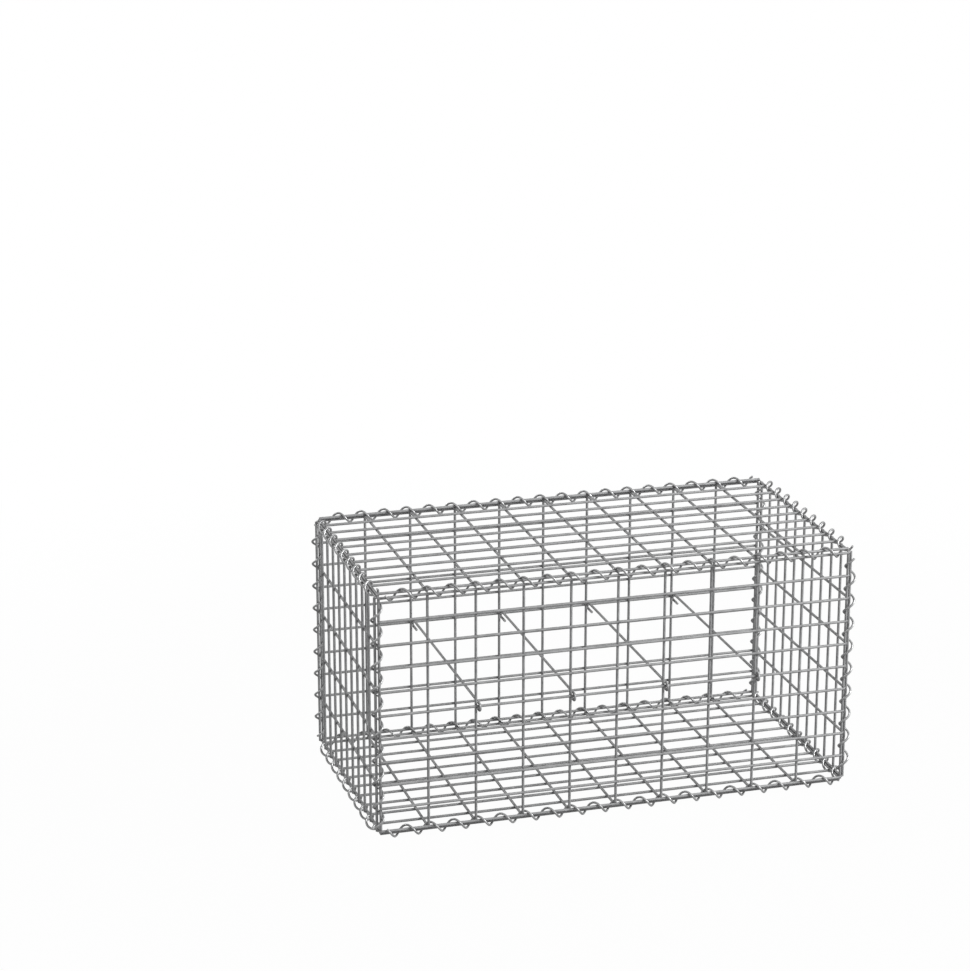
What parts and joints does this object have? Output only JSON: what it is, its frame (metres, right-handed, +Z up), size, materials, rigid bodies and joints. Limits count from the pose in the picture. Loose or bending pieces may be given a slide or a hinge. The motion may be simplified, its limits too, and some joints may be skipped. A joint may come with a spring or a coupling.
{
  "type": "welded mesh gabion basket",
  "caption": "Empty oblong wire basket of welded galvanised mesh, its panels laced along every edge with wire spirals and tied across inside, to be filled with stones.",
  "frame": {"origin": "under the middle of the basket, on the ground at the lowest point of its spirals", "axes": "+X along the basket's length, +Y from the front panel to the back panel, +Z up"},
  "size_m": [1.035, 0.5342, 0.5349],
  "materials": {
    "panel_zinc": "galvanised, drawn wire",
    "spiral_zinc": "galvanised, coiled wire",
    "tie_zinc": "galvanised, bent wire"
  },
  "bodies": {
    "root": {"front_panel": "panel_zinc", "back_panel": "panel_zinc", "base_panel": "panel_zinc", "lid_panel": "panel_zinc", "left_end_panel": "panel_zinc", "right_end_panel": "panel_zinc", "front_base_spiral": "spiral_zinc", "front_lid_spiral": "spiral_zinc", "back_base_spiral": "spiral_zinc", "back_lid_spiral": "spiral_zinc", "left_base_spiral": "spiral_zinc", "left_lid_spiral": "spiral_zinc", "right_base_spiral": "spiral_zinc", "right_lid_spiral": "spiral_zinc", "front_left_spiral": "spiral_zinc", "front_right_spiral": "spiral_zinc", "back_left_spiral": "spiral_zinc", "back_right_spiral": "spiral_zinc", "tie_wire_1": "tie_zinc", "tie_wire_2": "tie_zinc", "tie_wire_3": "tie_zinc", "tie_wire_4": "tie_zinc"}
  },
  "joints": []
}
